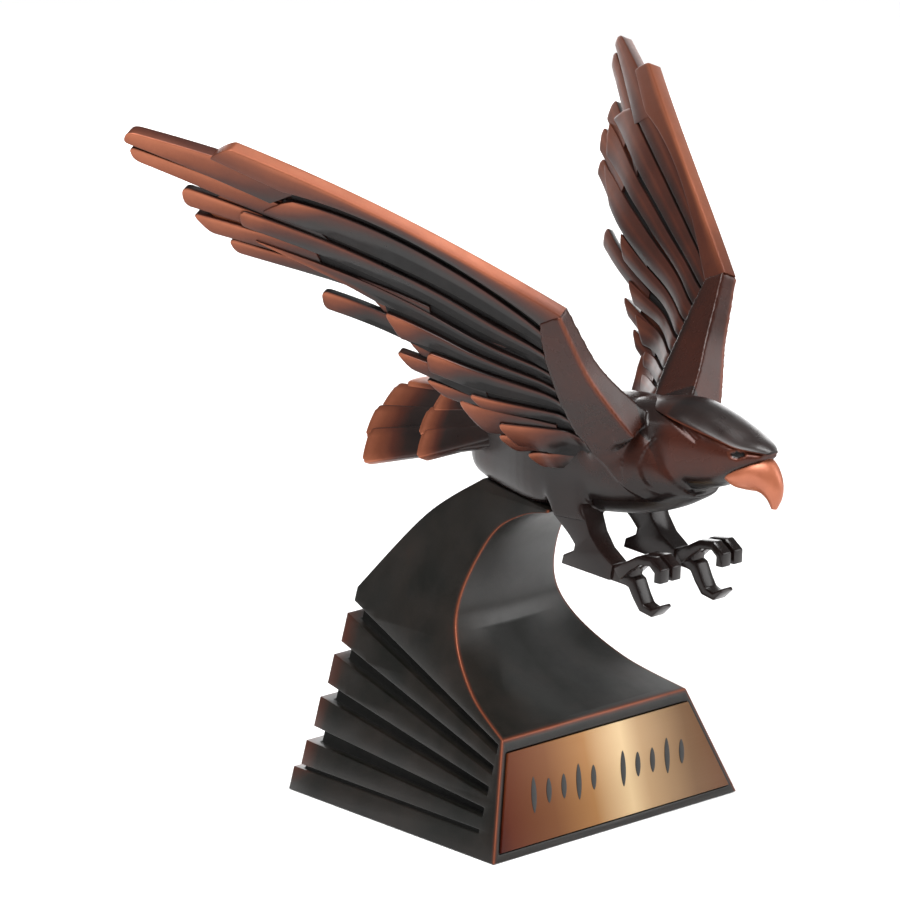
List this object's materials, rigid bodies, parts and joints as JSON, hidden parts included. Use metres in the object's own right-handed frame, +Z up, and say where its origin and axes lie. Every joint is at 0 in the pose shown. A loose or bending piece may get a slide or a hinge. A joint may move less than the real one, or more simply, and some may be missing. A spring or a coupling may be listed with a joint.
{
  "type": "eagle award statue",
  "caption": "Cast eagle with raised, finely grooved wings and outstretched talons, diving from a curved, finned trophy plinth with a sloping name plate.",
  "frame": {"origin": "middle of the plinth's flat underside", "axes": "the eagle faces -Y, +Z is up from the surface it stands on, and X = 0 is the mirror plane"},
  "size_m": [0.2262, 0.1641, 0.2146],
  "materials": {
    "dark_lacquered_resin": "dark brown satin lacquer with copper rubbed edges",
    "antique_bronze_resin": "antique bronze lacquer, copper on feather tips and leading edges",
    "polished_plate": "polished"
  },
  "bodies": {
    "root": {"plinth": "dark_lacquered_resin", "eagle": "antique_bronze_resin", "name_plate": "polished_plate"}
  },
  "joints": []
}
